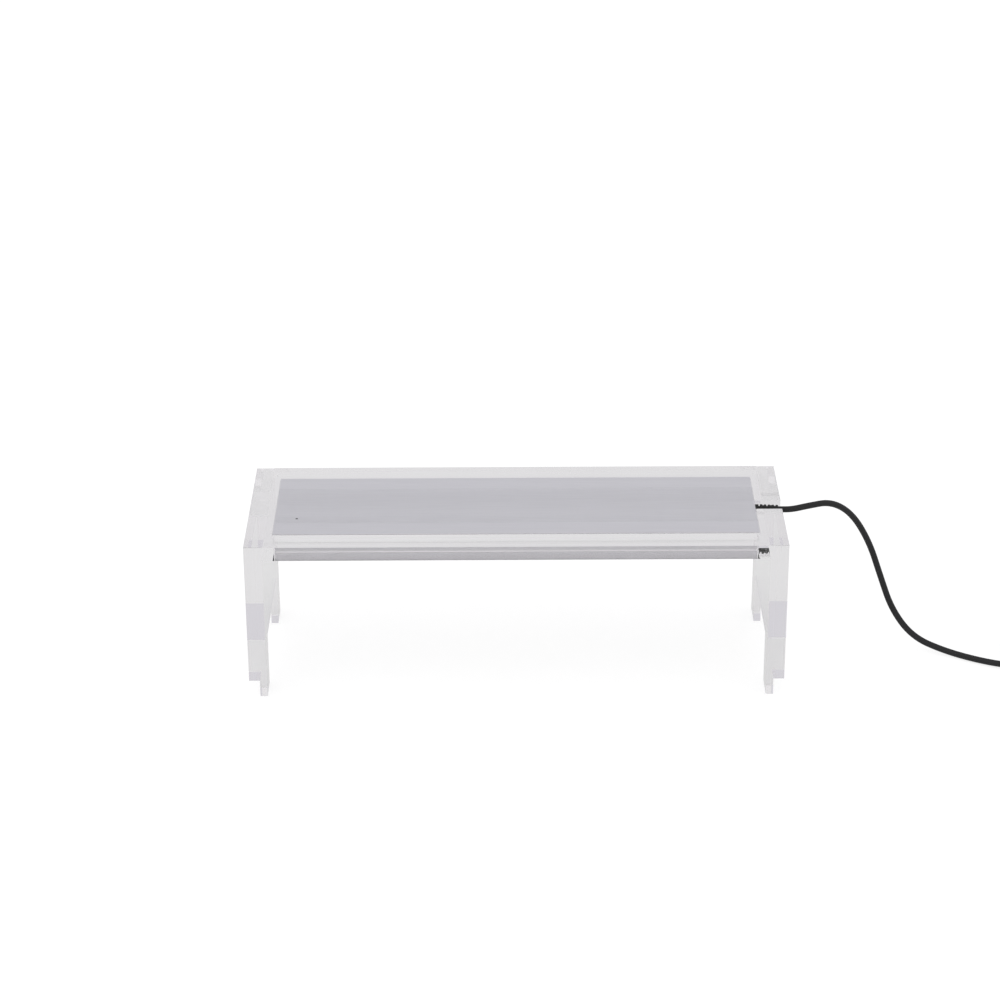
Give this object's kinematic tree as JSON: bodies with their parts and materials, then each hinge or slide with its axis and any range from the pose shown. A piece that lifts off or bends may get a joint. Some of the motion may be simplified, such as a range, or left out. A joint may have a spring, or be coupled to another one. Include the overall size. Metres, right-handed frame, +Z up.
{
  "type": "led aquarium light",
  "caption": "Clear acrylic stand light for a small tank: flat aluminium lamp in a clear plate between arched end legs, on a low-voltage lead with an inline switch.",
  "frame": {"origin": "middle of the stand's footprint, on the surface under the legs' tongues", "axes": "+X to the right towards the lead, along the lamp; +Y to the back; +Z up"},
  "size_m": [0.5892, 0.12, 0.0934],
  "materials": {
    "clear_acrylic": "clear cast acrylic, polished faces",
    "anodised_aluminium": "silver anodised, satin, finely grooved",
    "stainless_steel": "satin",
    "clear_silicone": "translucent silicone",
    "grey_thermal_pad": "matt",
    "white_board": "white solder mask",
    "white_led": "yellow phosphor in a white frame",
    "blue_led": "clear resin in a white frame",
    "green_led": "clear resin in a white frame",
    "red_led": "clear resin in a white frame",
    "clear_lens": "clear polycarbonate",
    "black_rubber": "matt",
    "black_cord_jacket": "satin PVC",
    "red_wire_jacket": "satin PVC",
    "black_wire_jacket": "satin PVC",
    "white_plastic": "satin",
    "black_tie": "coated wire tie",
    "black_plastic": "fine-textured moulding",
    "red_plastic": "gloss",
    "brass_contact": "bright",
    "nickel_barrel": "nickel plated"
  },
  "bodies": {
    "light": {"left_leg": "clear_acrylic", "right_leg": "clear_acrylic", "top_plate": "clear_acrylic", "leg_pins": "clear_acrylic", "heat_sink": "anodised_aluminium", "board_screws": "stainless_steel", "cover_screws": "stainless_steel", "clamp_screws": "stainless_steel", "case_screws": "stainless_steel", "cord_clamp": "stainless_steel", "flange_gasket": "clear_silicone", "cover_gasket": "clear_silicone", "thermal_pad": "grey_thermal_pad", "led_board": "white_board", "white_led_row_1": "white_led", "white_led_row_2": "white_led", "white_led_row_3": "white_led", "white_led_row_4": "white_led", "blue_leds": "blue_led", "green_leds": "green_led", "red_leds": "red_led", "lens_cover": "clear_lens", "cord_bushing": "black_rubber", "vent_plug": "black_rubber", "held_lead": "black_cord_jacket", "free_lead": "black_cord_jacket", "cord_coil": "black_cord_jacket", "link_lead": "black_cord_jacket", "tail_lead": "black_cord_jacket", "red_wire": "red_wire_jacket", "black_wire": "black_wire_jacket", "wire_terminal": "white_plastic", "coil_tie": "black_tie", "switch_lower_case": "black_plastic", "switch_upper_case": "black_plastic", "plug_body": "black_plastic", "plug_insulator": "black_plastic", "switch_terminals": "brass_contact", "plug_contact": "brass_contact", "plug_barrel": "nickel_barrel"},
    "rocker": {"switch_rocker": "red_plastic", "rocker_contact": "brass_contact"}
  },
  "joints": [
    {"name": "rocker_tilt", "type": "hinge", "parent": "light", "child": "rocker", "pos_m": [0.372, -0.025, 0.0118], "axis": [0, 1, 0], "range_deg": [0, 18]}
  ]
}
